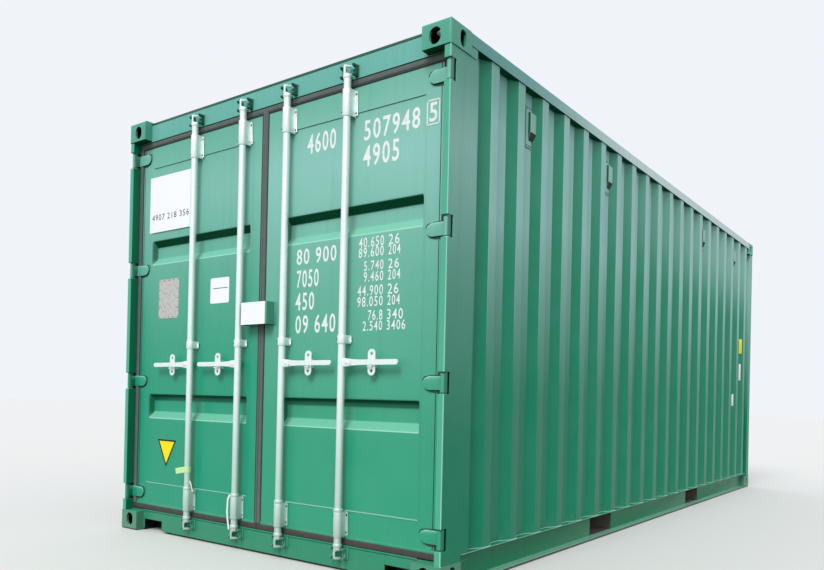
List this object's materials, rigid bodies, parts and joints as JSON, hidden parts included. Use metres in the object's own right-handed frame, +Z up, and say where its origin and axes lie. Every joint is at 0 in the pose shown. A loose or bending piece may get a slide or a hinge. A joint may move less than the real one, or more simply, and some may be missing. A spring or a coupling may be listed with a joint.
{
  "type": "shipping container",
  "caption": "Closed steel freight container with corrugated walls, corner castings, hinged cargo doors, locking bars and fork pockets.",
  "frame": {"origin": "middle of the base rectangle under the bottom castings, on the ground", "axes": "+X to the right seen from the door end, +Y from the doors to the closed end, +Z up"},
  "size_m": [2.438, 6.058, 2.591],
  "materials": {
    "frame_paint": "satin green paint, chalked",
    "wall_paint": "satin green paint, faded",
    "door_paint": "satin green paint, chalked",
    "keeper_paint": "dark green paint",
    "underside_paint": "matt dark underside coating",
    "galvanised": "matt galvanised steel",
    "seal_rubber": "matt",
    "floor_wood": "worn plywood"
  },
  "bodies": {
    "frame": {"bottom_castings_door_end": "frame_paint", "bottom_castings_closed_end": "frame_paint", "top_castings_door_end": "frame_paint", "top_castings_closed_end": "frame_paint", "door_post_left": "frame_paint", "door_post_right": "frame_paint", "end_posts": "frame_paint", "door_header": "frame_paint", "door_sill": "frame_paint", "end_top_rail": "frame_paint", "end_bottom_rail": "frame_paint", "top_side_rails": "frame_paint", "bottom_rail_left": "frame_paint", "bottom_rail_right": "frame_paint", "side_wall_left": "wall_paint", "side_wall_right": "wall_paint", "end_wall": "wall_paint", "roof_sheet": "frame_paint", "roof_corner_plates": "frame_paint", "cross_members": "underside_paint", "fork_pockets": "underside_paint", "floor_boards": "floor_wood", "hinge_pins": "frame_paint", "cam_keepers": "keeper_paint", "ventilators": "wall_paint"},
    "door_left": {"leaf_frame_left": "door_paint", "leaf_panel_left": "door_paint", "leaf_seal_left": "seal_rubber", "hinge_blades_left": "door_paint", "bar_guides_left": "galvanised", "handle_retainers_left": "galvanised", "lock_box_left": "door_paint"},
    "door_right": {"leaf_frame_right": "door_paint", "leaf_panel_right": "door_paint", "leaf_seal_right": "seal_rubber", "hinge_blades_right": "door_paint", "bar_guides_right": "galvanised", "handle_retainers_right": "galvanised", "lock_box_right": "door_paint"},
    "bar_1": {"locking_bar_1": "galvanised"},
    "grip_1": {"handle_1": "galvanised"},
    "bar_2": {"locking_bar_2": "galvanised"},
    "grip_2": {"handle_2": "galvanised"},
    "bar_3": {"locking_bar_3": "galvanised"},
    "grip_3": {"handle_3": "galvanised"},
    "bar_4": {"locking_bar_4": "galvanised"},
    "grip_4": {"handle_4": "galvanised"}
  },
  "joints": [
    {"name": "door_left_hinge", "type": "hinge", "parent": "frame", "child": "door_left", "pos_m": [-1.195, -3, 1.306], "axis": [0, 0, -1], "range_deg": [0, 260]},
    {"name": "door_right_hinge", "type": "hinge", "parent": "frame", "child": "door_right", "pos_m": [1.195, -3, 1.306], "axis": [0, 0, 1], "range_deg": [0, 260]},
    {"name": "bar_1_turn", "type": "hinge", "parent": "door_left", "child": "bar_1", "pos_m": [-0.593, -3.004, 1.295], "axis": [0, 0, -1], "range_deg": [-100, 0]},
    {"name": "handle_1_lift", "type": "hinge", "parent": "bar_1", "child": "grip_1", "pos_m": [-0.633, -3.004, 1.044], "axis": [0, 1, 0], "range_deg": [0, 25]},
    {"name": "bar_2_turn", "type": "hinge", "parent": "door_left", "child": "bar_2", "pos_m": [-0.173, -3.004, 1.295], "axis": [0, 0, -1], "range_deg": [-100, 0]},
    {"name": "handle_2_lift", "type": "hinge", "parent": "bar_2", "child": "grip_2", "pos_m": [-0.213, -3.004, 1.044], "axis": [0, 1, 0], "range_deg": [0, 25]},
    {"name": "bar_3_turn", "type": "hinge", "parent": "door_right", "child": "bar_3", "pos_m": [0.173, -3.004, 1.295], "axis": [0, 0, 1], "range_deg": [-100, 0]},
    {"name": "handle_3_lift", "type": "hinge", "parent": "bar_3", "child": "grip_3", "pos_m": [0.213, -3.004, 1.044], "axis": [0, -1, 0], "range_deg": [0, 25]},
    {"name": "bar_4_turn", "type": "hinge", "parent": "door_right", "child": "bar_4", "pos_m": [0.593, -3.004, 1.295], "axis": [0, 0, 1], "range_deg": [-100, 0]},
    {"name": "handle_4_lift", "type": "hinge", "parent": "bar_4", "child": "grip_4", "pos_m": [0.633, -3.004, 1.044], "axis": [0, -1, 0], "range_deg": [0, 25]}
  ]
}
